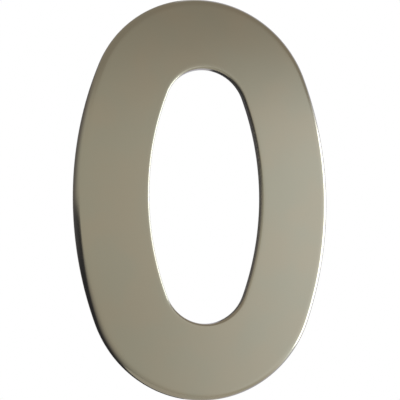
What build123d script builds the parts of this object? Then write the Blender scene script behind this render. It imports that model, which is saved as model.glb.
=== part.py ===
from build123d import *
import math
import os

# House number 0: one plated metal casting with a plain face and no hole
# through it. It is held from behind by two studs that screw into its back.
#
# The origin is the middle of the back face, +Z is up the numeral and the
# polished face looks towards -Y. All sizes are in millimetres.

# The oval
height = 127.0          # over the top and bottom crowns
width = 82.9            # over the two sides
crown_radius = 36.5     # outer radius of the top and bottom crowns
stroke = 23.2           # width of the metal, the same all the way round

# The section of the stroke
thickness = 2.8         # face to back
outer_edge_radius = 2.2     # rounding where the face meets the outer wall
counter_edge_radius = 0.8   # much tighter round the counter, where a polishing mop hardly reaches
back_edge_break = 0.3   # deburring chamfer on both edges of the back

# The stud holes, blind and tapped M4 from the back, mid-stroke at each crown
stud_hole_diameter = 3.3    # tap drill, the wall that the thread is cut in
stud_hole_depth = 2.0
stud_hole_countersink = 0.35    # radial width of the lead-in at the mouth

# Drawing plane of the oval: local y is +Z and it grows towards the face
back_plane = Plane.XZ


def oval(half_width, half_height, crown):
    """Face of a four-centre oval: two crowns joined to two sides by tangent arcs."""
    crown_centre = half_height - crown
    # A side arc touches both crowns only at this one radius
    side = (half_width**2 + crown_centre**2 - crown**2) / (2 * (half_width - crown))
    side_centre = side - half_width
    joint = math.degrees(math.atan2(crown_centre, side_centre))
    side_sweep = 2 * joint
    crown_sweep = 180 - 2 * joint
    return Face(
        Wire(
            [
                CenterArc((-side_centre, 0), side, -joint, side_sweep),
                CenterArc((0, crown_centre), crown, joint, crown_sweep),
                CenterArc((side_centre, 0), side, 180 - joint, side_sweep),
                CenterArc((0, -crown_centre), crown, 180 + joint, crown_sweep),
            ]
        )
    )


def numeral_blank():
    """The ring of the 0, with its face edges rounded and its back edges broken."""
    outer = oval(width / 2, height / 2, crown_radius)
    counter = oval(width / 2 - stroke, height / 2 - stroke, crown_radius - stroke)
    blank = extrude(back_plane * (outer - counter), thickness)
    face = blank.faces().sort_by(Axis.Y)[0]
    blank = fillet(face.outer_wire().edges(), outer_edge_radius)
    face = blank.faces().sort_by(Axis.Y)[0]
    blank = fillet(face.inner_wires()[0].edges(), counter_edge_radius)
    back = blank.faces().sort_by(Axis.Y)[-1]
    return chamfer(back.edges(), back_edge_break)


def stud_hole():
    """Cutter of one blind hole, its mouth at the origin and its floor towards -Y."""
    hole_radius = stud_hole_diameter / 2
    shank = extrude(back_plane * Circle(hole_radius), stud_hole_depth)
    mouth = extrude(
        back_plane * Circle(hole_radius + stud_hole_countersink),
        stud_hole_countersink,
        taper=45,
    )
    return shank + mouth


def numeral():
    """The finished casting."""
    stud_height = (height - stroke) / 2
    body = numeral_blank()
    for place in (stud_height, -stud_height):
        body -= Pos(0, 0, place) * stud_hole()
    return body


numeral_zero = numeral()
numeral_zero.label = "numeral_zero"

os.makedirs("parts", exist_ok=True)
export_step(numeral_zero, "parts/numeral_zero.step")
print("volume mm3", round(numeral_zero.volume, 1), "solids", len(numeral_zero.solids()))
print("stud holes at z +/-", (height - stroke) / 2)
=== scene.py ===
from functools import partial
import math

import bpy
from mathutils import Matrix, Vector


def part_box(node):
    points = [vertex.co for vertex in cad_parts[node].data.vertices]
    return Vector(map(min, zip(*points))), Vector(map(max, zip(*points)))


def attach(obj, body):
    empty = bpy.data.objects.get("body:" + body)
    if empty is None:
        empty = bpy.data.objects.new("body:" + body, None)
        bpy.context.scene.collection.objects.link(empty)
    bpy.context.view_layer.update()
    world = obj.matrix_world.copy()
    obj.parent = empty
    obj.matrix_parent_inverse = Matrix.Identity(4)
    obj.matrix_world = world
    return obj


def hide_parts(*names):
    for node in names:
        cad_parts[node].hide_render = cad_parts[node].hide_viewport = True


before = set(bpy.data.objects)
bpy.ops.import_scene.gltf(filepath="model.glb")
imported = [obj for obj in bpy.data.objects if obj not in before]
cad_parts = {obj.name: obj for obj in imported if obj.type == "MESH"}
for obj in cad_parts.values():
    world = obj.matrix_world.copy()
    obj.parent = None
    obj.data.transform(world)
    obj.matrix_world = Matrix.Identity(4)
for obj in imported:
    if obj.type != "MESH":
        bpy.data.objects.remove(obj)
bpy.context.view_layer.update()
mm = 0.001
print("frame loaded:", sorted(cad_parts))


def linear(hexColour):
    # sRGB hex to the linear values that Blender works in
    parts = [int(hexColour[i:i + 2], 16) / 255 for i in (1, 3, 5)]
    return [p / 12.92 if p <= 0.04045 else ((p + 0.055) / 1.055) ** 2.4 for p in parts] + [1.0]


def addNode(tree, kind, inputs=(), **settings):
    # Settings are the node's properties. Inputs are values, sockets or other nodes, in the order of
    # its sockets or under their name or number. A Mix has its floats at 2 and 3, its colours at
    # 6 and 7, and the mixed colour at output 2
    made = tree.nodes.new(kind)
    for name, value in settings.items():
        setattr(made, name, value)
    for socket, source in inputs.items() if isinstance(inputs, dict) else enumerate(inputs):
        if isinstance(source, bpy.types.Node):
            source = source.outputs[0]
        if isinstance(source, bpy.types.NodeSocket):
            tree.links.new(source, made.inputs[socket])
        else:
            made.inputs[socket].default_value = source
    return made


def toward(azimuth, elevation):
    # unit vector from the numeral, in degrees: azimuth 0 is straight ahead of its face, to the
    # right is positive, and elevation is up
    turn, lift = math.radians(azimuth), math.radians(elevation)
    return Vector((math.sin(turn) * math.cos(lift), -math.cos(turn) * math.cos(lift), math.sin(lift)))


# Camera: the numeral is seen close up, from its left and a little below
camera = {
    "azimuth": -16.29,
    "elevation": -7.0,
    "distance": 253.0,      # mm from the middle of the face
    "lens": 72.75,
    "shift": (-0.0172, -0.0158),    # the photo is cropped to the numeral
    "nearest": 10.0,        # mm from which it sees
}


def makeCamera():
    lowest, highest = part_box("numeral_zero")
    faceMiddle = Vector(((lowest.x + highest.x) / 2, lowest.y, (lowest.z + highest.z) / 2))
    away = toward(camera["azimuth"], camera["elevation"])
    data = bpy.data.cameras.new("studioCamera")
    data.lens = camera["lens"]
    data.shift_x, data.shift_y = camera["shift"]
    data.clip_start = camera["nearest"] * mm
    placed = bpy.data.objects.new("studioCamera", data)
    placed.location = faceMiddle + away * camera["distance"] * mm
    placed.rotation_mode = "QUATERNION"
    placed.rotation_quaternion = (-away).to_track_quat("-Z", "Y")
    bpy.context.scene.collection.objects.link(placed)
    bpy.context.scene.camera = placed


makeCamera()
print("camera placed")


# The casting, in mm. The outline is a four-centre oval: two crowns, two sides, tangent arcs.
# Its height, width and thickness come from the frame
casting = {
    "crownRadius": 36.5,
    "stroke": 23.2,
    "outerRounding": 2.2,
    "counterRounding": 0.8,
    "backBreak": 0.3,
    "sideSteps": 96,        # faces along one side arc
    "crownSteps": 144,      # faces along one crown arc
    "roundingSteps": 18,    # faces across each rounding
    "faceSteps": 24,        # faces across the flat of the stroke
    "waveSize": 17.0,       # between the slow waves that hand polishing leaves in the face
    "waveDepth": 0.03,
    "waveSeed": 4.0,
    "joinWithin": 0.001,    # points closer than this are one
    "crispFrom": 25.0,      # degrees between two faces, past which their edge is crisp
}

# Two blind M4 holes in the back for the fixing studs, in mm
studHole = {
    "spacing": 103.8,
    "drillRadius": 1.65,
    "depth": 2.0,
    "countersink": 0.35,
    "pitch": 0.7,
    "threadHeight": 0.34,
    "steps": 56,            # faces round the bore
    "rings": 44,            # faces down the bore
    "lead": 0.5,            # how far the cutter stands out of the back
}


def castingTree(sizes, finish):
    tree = bpy.data.node_groups.new("castNumeral", "GeometryNodeTree")
    add = partial(addNode, tree)
    for name, size in sizes.items():
        kind = "NodeSocketInt" if isinstance(size, int) else "NodeSocketFloat"
        tree.interface.new_socket(name, in_out="INPUT", socket_type=kind)
    tree.interface.new_socket("Geometry", in_out="OUTPUT", socket_type="NodeSocketGeometry")
    given = add("NodeGroupInput").outputs
    position = add("GeometryNodeInputPosition")
    here = add("ShaderNodeSeparateXYZ", [position]).outputs     # of whichever shape reads it

    # section of the stroke: local x points out of the oval, local y towards the face
    block = add("GeometryNodeCurvePrimitiveQuadrilateral",
                {"Width": given["Stroke"], "Height": given["Thickness"]})
    corner = add("GeometryNodeInputIndex")
    radius = add("GeometryNodeIndexSwitch", {"Index": corner}, data_type="FLOAT")
    steps = add("GeometryNodeIndexSwitch", {"Index": corner}, data_type="INT")
    treatments = ("Outer Rounding", "Counter Rounding", "Back Break", "Back Break")
    for switch in (radius, steps):
        while len(switch.index_switch_items) < len(treatments):
            switch.index_switch_items.new()
    for place, name in enumerate(treatments, start=1):
        tree.links.new(given[name], radius.inputs[place])
        if name == "Back Break":
            steps.inputs[place].default_value = 1
        else:
            tree.links.new(given["Rounding Steps"], steps.inputs[place])
    rounded = add("GeometryNodeFilletCurve", {"Curve": block, "Radius": radius, "Count": steps},
                  mode="POLY")

    # the flat of the face is cut finer, so that it can follow the waves: the cuts go in after its
    # outer end, the one point there that stands all but half the thickness above the middle
    underFace = add("ShaderNodeMath", (given["Thickness"], 0.499), operation="MULTIPLY")
    atFace = add("ShaderNodeMath", (here["Y"], underFace), operation="GREATER_THAN")
    isOuter = add("ShaderNodeMath", (here["X"], 0.0), operation="GREATER_THAN")
    faceStart = add("ShaderNodeMath", (atFace, isOuter), operation="MULTIPLY")
    faceCuts = add("ShaderNodeMath", (given["Face Steps"], 1.0), operation="SUBTRACT")
    cuts = add("ShaderNodeMath", (faceStart, faceCuts), operation="MULTIPLY")
    section = add("GeometryNodeSubdivideCurve", {"Curve": rounded, "Cuts": cuts})
    sectionPoints = add("GeometryNodeAttributeDomainSize", {"Geometry": section},
                        component="CURVE").outputs["Point Count"]

    # a flat sheet, one column to each step round the oval and one row to each section point
    halfSteps = add("ShaderNodeMath", (given["Side Steps"], given["Crown Steps"]), operation="ADD")
    around = add("ShaderNodeMath", (halfSteps, 2.0), operation="MULTIPLY")
    sheet = add("GeometryNodeMeshGrid", {
        "Size X": around, "Vertices X": add("ShaderNodeMath", (around, 1.0), operation="ADD"),
        "Size Y": sectionPoints,
        "Vertices Y": add("ShaderNodeMath", (sectionPoints, 1.0), operation="ADD")})
    fromLeft = add("ShaderNodeMath", (around, 0.5, here["X"]), operation="MULTIPLY_ADD")
    columnCount = add("ShaderNodeMath", [fromLeft], operation="ROUND")
    column = add("ShaderNodeMath", (columnCount, around), operation="MODULO")
    fromFoot = add("ShaderNodeMath", (sectionPoints, 0.5, here["Y"]), operation="MULTIPLY_ADD")
    rowCount = add("ShaderNodeMath", [fromFoot], operation="ROUND")
    row = add("ShaderNodeMath", (rowCount, sectionPoints), operation="MODULO")

    # column to direction angle: side arc, crown arc, and the same again half a turn on
    inHalf = add("ShaderNodeMath", (column, halfSteps), operation="MODULO")
    halves = add("ShaderNodeMath", (column, halfSteps), operation="DIVIDE")
    secondHalf = add("ShaderNodeMath", [halves], operation="FLOOR")
    pastSide = add("ShaderNodeMath", (inHalf, given["Side Steps"]), operation="GREATER_THAN")
    sideStart = add("ShaderNodeMath", (given["Joint Angle"], -1.0), operation="MULTIPLY")
    onSide = add("ShaderNodeMapRange", {
        "Value": inHalf, "From Max": given["Side Steps"],
        "To Min": sideStart, "To Max": given["Joint Angle"]})
    crownEnd = add("ShaderNodeMath", (math.pi, given["Joint Angle"]), operation="SUBTRACT")
    onCrown = add("ShaderNodeMapRange", {
        "Value": inHalf, "From Min": given["Side Steps"], "From Max": halfSteps,
        "To Min": given["Joint Angle"], "To Max": crownEnd})
    angleInHalf = add("ShaderNodeMix", {0: pastSide, 2: onSide, 3: onCrown}, data_type="FLOAT")
    angle = add("ShaderNodeMath", (secondHalf, math.pi, angleInHalf), operation="MULTIPLY_ADD")
    across = add("ShaderNodeMath", [angle], operation="COSINE")
    upward = add("ShaderNodeMath", [angle], operation="SINE")

    # the arc's own centre and radius
    halfSign = add("ShaderNodeMath", (secondHalf, -2.0, 1.0), operation="MULTIPLY_ADD")
    crownSign = add("ShaderNodeMath", (halfSign, pastSide), operation="MULTIPLY")
    sideSign = add("ShaderNodeMath", (crownSign, halfSign), operation="SUBTRACT")
    centreX = add("ShaderNodeMath", (sideSign, given["Side Centre"]), operation="MULTIPLY")
    centreZ = add("ShaderNodeMath", (crownSign, given["Crown Centre"]), operation="MULTIPLY")
    arcRadius = add("ShaderNodeMix", {0: pastSide, 2: given["Side Radius"], 3: given["Crown Radius"]},
                    data_type="FLOAT")

    # row to the section's point
    sectionSpot = add("GeometryNodeSampleIndex", {"Geometry": section, "Value": position, "Index": row},
                      data_type="FLOAT_VECTOR", domain="POINT")
    local = add("ShaderNodeSeparateXYZ", [sectionSpot]).outputs
    midRadius = add("ShaderNodeMath", (given["Stroke"], -0.5, arcRadius), operation="MULTIPLY_ADD")
    fromCentre = add("ShaderNodeMath", (midRadius, local["X"]), operation="ADD")
    placeX = add("ShaderNodeMath", (fromCentre, across, centreX), operation="MULTIPLY_ADD")
    placeZ = add("ShaderNodeMath", (fromCentre, upward, centreZ), operation="MULTIPLY_ADD")

    # the waves only ever go into the metal, and fade out down the rounding
    waves = add("ShaderNodeTexNoise", {
        "Vector": add("ShaderNodeCombineXYZ", {"X": placeX, "Z": placeZ}), "W": given["Wave Seed"],
        "Scale": add("ShaderNodeMath", (1.0, given["Wave Size"]), operation="DIVIDE"), "Detail": 1.0},
        noise_dimensions="4D")
    faceHeight = add("ShaderNodeMath", (given["Thickness"], 0.5), operation="MULTIPLY")
    toFace = add("ShaderNodeMapRange", {"Value": local["Y"], "From Max": faceHeight},
                 interpolation_type="SMOOTHSTEP")
    wave = add("ShaderNodeMath", (waves, given["Wave Depth"]), operation="MULTIPLY")
    sunk = add("ShaderNodeMath", (wave, toFace), operation="MULTIPLY")
    middle = add("ShaderNodeMath", (given["Thickness"], -0.5, sunk), operation="MULTIPLY_ADD")
    placeY = add("ShaderNodeMath", (middle, local["Y"]), operation="SUBTRACT")
    place = add("ShaderNodeCombineXYZ", (placeX, placeY, placeZ))

    # along and across the stroke in metres, kept for patterns that follow the edges
    alongStroke = add("ShaderNodeMath", (angle, given["Crown Radius"]), operation="MULTIPLY")
    mapped = add("GeometryNodeStoreNamedAttribute", {
        "Geometry": sheet, "Name": "strokeUv",
        "Value": add("ShaderNodeCombineXYZ", (alongStroke, local["X"]))},
        data_type="FLOAT2", domain="CORNER")
    bent = add("GeometryNodeSetPosition", {"Geometry": mapped, "Position": place})
    ring = add("GeometryNodeMergeByDistance", {"Geometry": bent, "Distance": given["Join Within"]})

    # cutter of one stud hole: a cylinder whose wall follows the thread, wider at the mouth
    cutterDepth = add("ShaderNodeMath", (given["Hole Depth"], given["Lead"]), operation="ADD")
    rod = add("GeometryNodeMeshCylinder", {
        "Vertices": given["Bore Steps"], "Side Segments": given["Bore Rings"],
        "Radius": given["Drill Radius"], "Depth": cutterDepth})
    bearing = add("ShaderNodeMath", (here["Y"], here["X"]), operation="ARCTAN2")
    risen = add("ShaderNodeMath", (here["Z"], given["Pitch"]), operation="DIVIDE")
    turned = add("ShaderNodeMath", (bearing, 2 * math.pi), operation="DIVIDE")
    turns = add("ShaderNodeMath", (risen, turned), operation="SUBTRACT")
    zigzag = add("ShaderNodeMath", (turns, 0.5), operation="PINGPONG")
    ridge = add("ShaderNodeMath", (zigzag, 2.0), operation="MULTIPLY")
    threaded = add("ShaderNodeMath", (ridge, given["Thread Height"], given["Drill Radius"]),
                   operation="MULTIPLY_ADD")
    halfDepth = add("ShaderNodeMath", (cutterDepth, 0.5), operation="MULTIPLY")
    mouthHeight = add("ShaderNodeMath", (halfDepth, given["Lead"]), operation="SUBTRACT")
    overMouth = add("ShaderNodeMath", (here["Z"], mouthHeight), operation="SUBTRACT")
    mouthRadius = add("ShaderNodeMath", (given["Drill Radius"], given["Countersink"]), operation="ADD")
    mouthCone = add("ShaderNodeMath", (mouthRadius, overMouth), operation="ADD")
    boreRadius = add("ShaderNodeMath", (threaded, mouthCone), operation="MAXIMUM")
    boreAcross = add("ShaderNodeMath", [bearing], operation="COSINE")
    boreUpward = add("ShaderNodeMath", [bearing], operation="SINE")
    boreSpot = add("ShaderNodeCombineXYZ", (
        add("ShaderNodeMath", (boreRadius, boreAcross), operation="MULTIPLY"),
        add("ShaderNodeMath", (boreRadius, boreUpward), operation="MULTIPLY"),
        overMouth))
    cutter = add("GeometryNodeSetPosition", {"Geometry": rod, "Position": boreSpot})
    laid = add("GeometryNodeTransform", {"Geometry": cutter, "Rotation": (-math.pi / 2, 0, 0)})

    # one cutter at the upper stud and one at the lower
    upper = add("ShaderNodeMath", (given["Stud Spacing"], 0.5), operation="MULTIPLY")
    toLower = add("ShaderNodeMath", (given["Stud Spacing"], -1.0), operation="MULTIPLY")
    studs = add("GeometryNodeMeshLine", {
        "Count": 2, "Start Location": add("ShaderNodeCombineXYZ", {"Z": upper}),
        "Offset": add("ShaderNodeCombineXYZ", {"Z": toLower})})
    cutters = add("GeometryNodeInstanceOnPoints", {"Points": studs, "Instance": laid})
    cutterMesh = add("GeometryNodeRealizeInstances", {"Geometry": cutters})
    bored = add("GeometryNodeMeshBoolean", {"Mesh 1": ring, "Mesh 2": cutterMesh},
                operation="DIFFERENCE", solver="EXACT")

    # smooth, with crisp edges where walls meet sharply
    smooth = add("GeometryNodeSetShadeSmooth", {"Geometry": bored}, domain="FACE")
    bend = add("GeometryNodeInputMeshEdgeAngle")
    sharp = add("ShaderNodeMath", (bend, given["Crisp Angle"]), operation="GREATER_THAN")
    crisp = add("GeometryNodeSetShadeSmooth",
                {"Geometry": smooth, "Selection": sharp, "Shade Smooth": False}, domain="EDGE")
    whole = add("GeometryNodeRealizeInstances", {"Geometry": crisp})
    plated = add("GeometryNodeSetMaterial", {"Geometry": whole, "Material": finish})
    add("NodeGroupOutput", {"Geometry": plated})
    return tree


def makeCasting(finish):
    # side radius from tangency with both crowns
    lowest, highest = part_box("numeral_zero")
    span = (Vector(highest) - Vector(lowest)) / mm
    halfWidth, halfHeight = span.x / 2, span.z / 2
    crownCentre = halfHeight - casting["crownRadius"]
    sideRadius = ((halfWidth ** 2 + crownCentre ** 2 - casting["crownRadius"] ** 2)
                  / (2 * (halfWidth - casting["crownRadius"])))
    sideCentre = sideRadius - halfWidth
    sizes = {
        "Side Radius": sideRadius * mm,
        "Crown Radius": casting["crownRadius"] * mm,
        "Side Centre": sideCentre * mm,
        "Crown Centre": crownCentre * mm,
        "Joint Angle": math.atan2(crownCentre, sideCentre),
        "Stroke": casting["stroke"] * mm,
        "Thickness": span.y * mm,
        "Outer Rounding": casting["outerRounding"] * mm,
        "Counter Rounding": casting["counterRounding"] * mm,
        "Back Break": casting["backBreak"] * mm,
        "Side Steps": casting["sideSteps"],
        "Crown Steps": casting["crownSteps"],
        "Rounding Steps": casting["roundingSteps"],
        "Face Steps": casting["faceSteps"],
        "Wave Size": casting["waveSize"] * mm,
        "Wave Depth": casting["waveDepth"] * mm,
        "Wave Seed": casting["waveSeed"],
        "Join Within": casting["joinWithin"] * mm,
        "Crisp Angle": math.radians(casting["crispFrom"]),
        "Stud Spacing": studHole["spacing"] * mm,
        "Drill Radius": studHole["drillRadius"] * mm,
        "Hole Depth": studHole["depth"] * mm,
        "Countersink": studHole["countersink"] * mm,
        "Pitch": studHole["pitch"] * mm,
        "Thread Height": studHole["threadHeight"] * mm,
        "Bore Steps": studHole["steps"],
        "Bore Rings": studHole["rings"],
        "Lead": studHole["lead"] * mm,
    }
    tree = castingTree(sizes, finish)
    piece = bpy.data.objects.new("numeralCasting", bpy.data.meshes.new("numeralCasting"))
    bpy.context.scene.collection.objects.link(piece)
    maker = piece.modifiers.new("castNumeral", "NODES")
    maker.node_group = tree
    for socket in tree.interface.items_tree:
        if socket.in_out == "INPUT":
            maker[socket.identifier] = sizes[socket.name]
    evaluated = piece.evaluated_get(bpy.context.evaluated_depsgraph_get())
    solid = bpy.data.meshes.new_from_object(evaluated)
    solid.name = "numeralCasting"
    piece.modifiers.remove(maker)
    piece.data = solid
    return piece


# Satin nickel plate on cast brass: softly polished, warm grey, mirrors its room out of focus
nickel = {
    "colour": "#aaa18a",
    "cloudColour": "#a7a18b",   # faint cooler patches in the plate
    "cloudSize": 16.0,          # mm across a patch
    "cloudFrom": (0.35, 0.65),  # values of the noise over which a patch sets in
    "roughness": 0.14,
    "roughnessSpread": 0.04,
    "counterRoughness": 0.22,   # duller round the counter, where a polishing mop hardly reaches
    "counterFade": 0.9,         # mm over which that gives way to the polish of the face
    "grainSize": 0.35,          # mm; the real satin grain is 0.05, drawn coarser so that it shows
    "grainFrom": (0.3, 0.7),    # values of the noise over which the roughness spreads
    "grainDepth": 0.0006,       # mm
    "mopLineWidth": 0.25,       # mm; polishing lines that run along the stroke
    "mopLineLength": 9.0,
    "mopLineDepth": 0.0006,
    "backColour": "#b0a998",    # the back is plated but not polished
    "backFrom": (-0.45, -0.15),     # mm from the back, over which its look sets in on the wall
    "backRoughness": 0.42,
    "backGrainSize": 0.9,
    "backGrainDepth": 0.02,
    "brassColour": "#b5955a",   # bare brass where the stud holes were tapped after plating
    "brassRoughness": 0.3,
    "brassFade": 0.02,          # mm to either side of the mouth's edge
    "brassBelow": 0.2,          # mm past the floor of the bore, short of the polished face
}


def satinNickel():
    finish = bpy.data.materials.new("satinNickelPlate")
    finish.use_nodes = True
    tree = finish.node_tree
    tree.nodes.clear()
    add = partial(addNode, tree)

    # patterns lie in mm on the whole casting, or along and across the stroke
    inMm = add("ShaderNodeMapping", {
        "Vector": add("ShaderNodeTexCoord").outputs["Object"], "Scale": (1 / mm, 1 / mm, 1 / mm)})
    where = add("ShaderNodeSeparateXYZ", [inMm]).outputs
    strokeUv = add("ShaderNodeUVMap", uv_map="strokeUv")
    alongEdge = add("ShaderNodeMapping", {
        "Vector": strokeUv,
        "Scale": (1 / mm / nickel["mopLineLength"], 1 / mm / nickel["mopLineWidth"], 1)})

    # back of the casting, and the bores of the two stud holes
    start, end = nickel["backFrom"]
    onBack = add("ShaderNodeMapRange", {"Value": where["Y"], "From Min": start, "From Max": end},
                 interpolation_type="SMOOTHSTEP")
    height = add("ShaderNodeMath", [where["Z"]], operation="ABSOLUTE")
    fromStud = add("ShaderNodeMath", (height, studHole["spacing"] / 2), operation="SUBTRACT")
    offAxis = add("ShaderNodeCombineXYZ", {"X": where["X"], "Z": fromStud})
    fromBoreAxis = add("ShaderNodeVectorMath", [offAxis], operation="LENGTH").outputs["Value"]
    mouthRadius = studHole["drillRadius"] + studHole["countersink"]
    nearBore = add("ShaderNodeMapRange", {
        "Value": fromBoreAxis, "From Min": mouthRadius + nickel["brassFade"],
        "From Max": mouthRadius - nickel["brassFade"]})
    boreEnd = -studHole["depth"] - nickel["brassBelow"]
    behindFace = add("ShaderNodeMath", (where["Y"], boreEnd), operation="GREATER_THAN")
    inBore = add("ShaderNodeMath", (nearBore, behindFace), operation="MULTIPLY")

    clouds = add("ShaderNodeTexNoise", {
        "Vector": inMm, "Scale": 1 / nickel["cloudSize"], "Detail": 2.0})
    start, end = nickel["cloudFrom"]
    inCloud = add("ShaderNodeMapRange", {"Value": clouds, "From Min": start, "From Max": end},
                  interpolation_type="SMOOTHSTEP")
    colour = linear(nickel["colour"])
    for mask, name in ((inCloud, "cloudColour"), (onBack, "backColour"), (inBore, "brassColour")):
        colour = add("ShaderNodeMix", {0: mask, 6: colour, 7: linear(nickel[name])},
                     data_type="RGBA").outputs[2]

    grain = add("ShaderNodeTexNoise", {
        "Vector": inMm, "Scale": 1 / nickel["grainSize"], "Detail": 3.0})
    start, end = nickel["grainFrom"]
    roughness = add("ShaderNodeMapRange", {
        "Value": grain, "From Min": start, "From Max": end,
        "To Min": nickel["roughness"] - nickel["roughnessSpread"] / 2,
        "To Max": nickel["roughness"] + nickel["roughnessSpread"] / 2})
    # strokeUv's second value is measured from the middle of the stroke, negative towards the counter
    counterEdge = casting["counterRounding"] - casting["stroke"] / 2
    nearCounter = add("ShaderNodeMapRange", {
        "Value": add("ShaderNodeSeparateXYZ", [strokeUv]).outputs["Y"],
        "From Min": (counterEdge + nickel["counterFade"]) * mm,
        "From Max": (counterEdge - nickel["counterFade"] / 2) * mm}, interpolation_type="SMOOTHSTEP")
    for mask, name in ((nearCounter, "counterRoughness"), (onBack, "backRoughness"),
                       (inBore, "brassRoughness")):
        roughness = add("ShaderNodeMix", {0: mask, 2: roughness, 3: nickel[name]}, data_type="FLOAT")

    mopLines = add("ShaderNodeTexNoise", {"Vector": alongEdge, "Scale": 1.0, "Detail": 2.0})
    backGrain = add("ShaderNodeTexNoise", {
        "Vector": inMm, "Scale": 1 / nickel["backGrainSize"], "Detail": 3.0})
    polished = add("ShaderNodeMath", (1.0, onBack), operation="SUBTRACT")
    surface = None
    for relief, depth, strength in (
            (mopLines, nickel["mopLineDepth"], polished),
            (grain, nickel["grainDepth"], 1.0),
            (backGrain, nickel["backGrainDepth"], onBack)):
        surface = add("ShaderNodeBump", {
            "Strength": strength, "Distance": depth * mm, "Height": relief,
            **({"Normal": surface} if surface else {})})

    metal = add("ShaderNodeBsdfPrincipled", {
        "Base Color": colour, "Metallic": 1.0, "Roughness": roughness, "Normal": surface})
    add("ShaderNodeOutputMaterial", {"Surface": metal})
    return finish


satinPlate = satinNickel()
numeralCasting = makeCasting(satinPlate)
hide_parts("numeral_zero")
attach(numeralCasting, "root")
print("casting made:", len(numeralCasting.data.polygons), "faces")


# The soft room that the metal mirrors. Directions are degrees as seen from the numeral, as in
# toward. A pair is the azimuths or elevations over which a part of the room sets in
room = {
    "wallColour": "#ffffff",    # wall straight ahead, and the table below it
    "wallLevel": 0.71,
    "ceilingColour": "#fff8f4",
    "ceilingLevel": 0.46,
    "ceilingFrom": (10.0, 22.5),
    "ceilingLag": 0.25,         # degrees that it starts higher for each degree to the left
    "ceilingLagTo": -60.0,      # azimuth from which it starts no higher
    "leftColour": "#f5f2ff",    # the far left, away from the window
    "leftLevel": 0.27,
    "leftFrom": (-15.0, -120.0),
    "nicheColour": "#eeeeff",   # a dim corner at the left, past the numeral
    "nicheLevel": 0.1,
    "nicheFrom": (-140.0, -164.0),
    "nicheTop": (32.0, 18.0),
    "nicheFoot": (-42.0, -28.0),
    "nicheEnd": 168.0,          # azimuth, reached round the back, where it meets the bright side
    "shadeColour": "#c8c8ff",   # the table dims to the left as well
    "shadeLevel": 0.02,
    "shadeFrom": (43.0, -150.0),
    "shadeTop": (3.3, -2.0),
    "shadeFoot": (-79.0, -38.0),
    "shadeEnd": (-175.0, -140.0),
    "doorColour": "#dde2ff",    # an unlit doorway low on the left, whose foot rises towards its tip
    "doorLevel": 0.07,
    "doorTip": -14.0,
    "doorTop": 3.6,
    "doorTopSoftness": 2.24,
    "doorSlope": 0.47,
    "doorFootSoftness": 3.2,
    "doorFarLevel": 0.17,       # paler where it comes near the wall at the far left
    "doorFarFrom": (-35.0, -115.0),
    "doorFarFoot": (-14.0, -3.0),
    "windowColour": "#d5e4ff",  # daylight on the right
    "windowLevel": 0.72,
    "windowFrom": (7.0, 32.0),
    "windowTop": 13.5,          # elevation of its upper edge, which rises to the right
    "windowRise": 0.07,
    "windowSoftness": 5.0,
    "windowFoot": (-49.0, 2.0),
    "paneLevel": 3.6,           # the pane itself, at the far right
    "paneFrom": (37.0, 110.0),
    "cornerColour": "#e7e9ff",  # the corner past the window
    "cornerLevel": 1.0,
    "cornerFrom": (88.0, 108.0),
    "backdropColour": "#ffffff",
    "backdropFrom": (0.955, 0.985),     # how squarely a direction points at it
}


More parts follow.
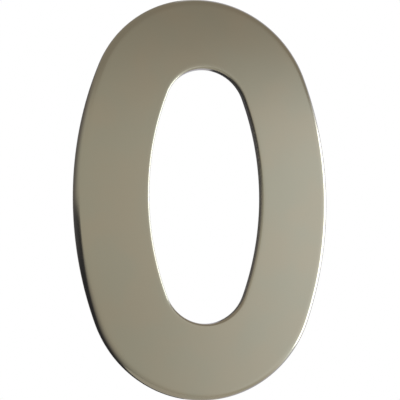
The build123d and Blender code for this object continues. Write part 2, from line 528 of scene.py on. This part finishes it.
def makeWorld():
    world = bpy.data.worlds.new("softRoom")
    bpy.context.scene.world = world
    world.use_nodes = True
    tree = world.node_tree
    tree.nodes.clear()
    add = partial(addNode, tree)

    def level(name, brightness=None):
        # colour of a part of the room, at its own brightness or another's
        strength = room[brightness or name + "Level"]
        return [c * strength for c in linear(room[name + "Colour"])[:3]] + [1.0]

    def part(*edges, within=None):
        # where a part of the room lies: the overlap of its soft edges, each a value and the pair
        # that it fades in over
        mask = within
        for value, (start, end) in edges:
            edge = add("ShaderNodeMapRange", {"Value": value, "From Min": start, "From Max": end},
                       interpolation_type="SMOOTHSTEP")
            if mask:
                edge = add("ShaderNodeMath", (mask, edge), operation="MULTIPLY")
            mask = edge
        return mask

    direction = add("ShaderNodeSeparateXYZ", [add("ShaderNodeTexCoord").outputs["Generated"]]).outputs
    ahead = add("ShaderNodeMath", (direction["Y"], -1.0), operation="MULTIPLY")
    bearing = add("ShaderNodeMath", (direction["X"], ahead), operation="ARCTAN2")
    bearing = add("ShaderNodeMath", [bearing], operation="DEGREES")
    pastEnd = add("ShaderNodeMath", (bearing, room["nicheEnd"]), operation="GREATER_THAN")
    azimuth = add("ShaderNodeMath", (pastEnd, -360.0, bearing), operation="MULTIPLY_ADD")
    elevation = add("ShaderNodeMath", [direction["Z"]], operation="ARCSINE")
    elevation = add("ShaderNodeMath", [elevation], operation="DEGREES")

    shade = part((azimuth, room["shadeFrom"]), (elevation, room["shadeTop"]),
                 (elevation, room["shadeFoot"]), (azimuth, room["shadeEnd"]))
    niche = part((azimuth, room["nicheFrom"]), (elevation, room["nicheTop"]),
                 (elevation, room["nicheFoot"]))

    lagging = add("ShaderNodeMath", (azimuth, room["ceilingLagTo"]), operation="MAXIMUM")
    lagging = add("ShaderNodeMath", (lagging, 0.0), operation="MINIMUM")
    overCeiling = add("ShaderNodeMath", (lagging, room["ceilingLag"], elevation),
                      operation="MULTIPLY_ADD")

    soft = room["windowSoftness"]
    risen = add("ShaderNodeMath", (azimuth, room["windowRise"]), operation="MULTIPLY")
    overWindow = add("ShaderNodeMath", (elevation, room["windowTop"]), operation="SUBTRACT")
    overWindow = add("ShaderNodeMath", (overWindow, risen), operation="SUBTRACT")
    opening = part((overWindow, (soft, -soft)), (elevation, room["windowFoot"]))

    soft, topSoft = room["doorFootSoftness"], room["doorTopSoftness"]
    overDoor = add("ShaderNodeMath", (elevation, room["doorTop"]), operation="SUBTRACT")
    pastTip = add("ShaderNodeMath", (room["doorTip"], azimuth), operation="SUBTRACT")
    overFoot = add("ShaderNodeMath", (pastTip, room["doorSlope"], overDoor), operation="MULTIPLY_ADD")
    door = part((overFoot, (-soft, soft)), (overDoor, (topSoft, -topSoft)))
    farDoor = part((azimuth, room["doorFarFrom"]), (elevation, room["doorFarFoot"]))
    doorway = add("ShaderNodeMix", {0: farDoor, 6: level("door"), 7: level("door", "doorFarLevel")},
                  data_type="RGBA", clamp_factor=False).outputs[2]

    # the white backdrop: all that the camera sees, and what metal or glass sees behind the numeral
    ray = add("ShaderNodeLightPath").outputs
    bounced = add("ShaderNodeMath", (ray["Is Glossy Ray"], ray["Is Transmission Ray"]),
                  operation="MAXIMUM")
    behind = part((direction["Y"], room["backdropFrom"]), within=bounced)
    backdrop = add("ShaderNodeMath", (ray["Is Camera Ray"], behind), operation="MAXIMUM")

    # each part lies over the ones before it, and daylight adds to them
    seen = level("wall")
    for mask, colour, blend in (
            (part((azimuth, room["leftFrom"])), level("left"), "MIX"),
            (shade, level("shade"), "MIX"),
            (niche, level("niche"), "MIX"),
            (part((overCeiling, room["ceilingFrom"])), level("ceiling"), "MIX"),
            (part((azimuth, room["windowFrom"]), within=opening), level("window"), "ADD"),
            (part((azimuth, room["paneFrom"]), within=opening), level("window", "paneLevel"), "ADD"),
            (part((azimuth, room["cornerFrom"])), level("corner"), "MIX"),
            (door, doorway, "MIX"),
            (backdrop, linear(room["backdropColour"]), "MIX")):
        seen = add("ShaderNodeMix", {0: mask, 6: seen, 7: colour},
                   data_type="RGBA", blend_type=blend, clamp_factor=False).outputs[2]
    glow = add("ShaderNodeBackground", {"Color": seen, "Strength": 1.0})
    add("ShaderNodeOutputWorld", {"Surface": glow})


makeWorld()
print("room made")


# A round sheet of matt pale paper, which takes the numeral's shadow and mirrors nothing
floor = {
    "drop": 330.0,          # mm from the numeral's foot down to it
    "radius": 250.0,        # mm
    "sides": 96,
    "colour": "#e4e3df",
    "lift": 0.52,           # glow for the camera, which turns it white but keeps the shadow
    "mirrored": 0.2,        # the same for the metal
}


def makeFloor():
    finish = bpy.data.materials.new("palePaperFloor")
    finish.use_nodes = True
    tree = finish.node_tree
    tree.nodes.clear()
    add = partial(addNode, tree)
    ray = add("ShaderNodeLightPath").outputs
    mirrored = add("ShaderNodeMath", (ray["Is Glossy Ray"], floor["mirrored"]), operation="MULTIPLY")
    lift = add("ShaderNodeMath", (ray["Is Camera Ray"], floor["lift"], mirrored),
               operation="MULTIPLY_ADD")
    paper = add("ShaderNodeBsdfDiffuse", {"Color": linear(floor["colour"])})
    glow = add("ShaderNodeEmission", {"Strength": lift})
    add("ShaderNodeOutputMaterial", {"Surface": add("ShaderNodeAddShader", (paper, glow))})

    reach = floor["radius"] * mm
    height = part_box("numeral_zero")[0].z - floor["drop"] * mm
    turns = [2 * math.pi * side / floor["sides"] for side in range(floor["sides"])]
    mesh = bpy.data.meshes.new("studioFloor")
    mesh.from_pydata([(reach * math.cos(t), reach * math.sin(t), height) for t in turns], [],
                     [range(floor["sides"])])
    mesh.materials.append(finish)
    sheet = bpy.data.objects.new("studioFloor", mesh)
    bpy.context.scene.collection.objects.link(sheet)


makeFloor()
print("floor made")


# A large softbox at the numeral's right
softbox = {
    "size": (560.0, 830.0),     # mm
    "distance": 1000.0,
    "azimuth": 84.0,
    "elevation": -4.0,
    "colour": "#e9f1ff",
    "radiance": 3.8,
}


def makeLamp():
    away = toward(softbox["azimuth"], softbox["elevation"])
    data = bpy.data.lights.new("sideSoftbox", "AREA")
    data.shape = "RECTANGLE"
    data.size, data.size_y = (side * mm for side in softbox["size"])
    data.color = linear(softbox["colour"])[:3]
    data.energy = softbox["radiance"] * math.pi * data.size * data.size_y
    lamp = bpy.data.objects.new("sideSoftbox", data)
    lamp.location = away * softbox["distance"] * mm
    lamp.rotation_mode = "QUATERNION"
    lamp.rotation_quaternion = away.to_track_quat("Z", "Y")
    bpy.context.scene.collection.objects.link(lamp)


makeLamp()
bpy.context.scene.view_settings.view_transform = "Standard"
print("lamp made")
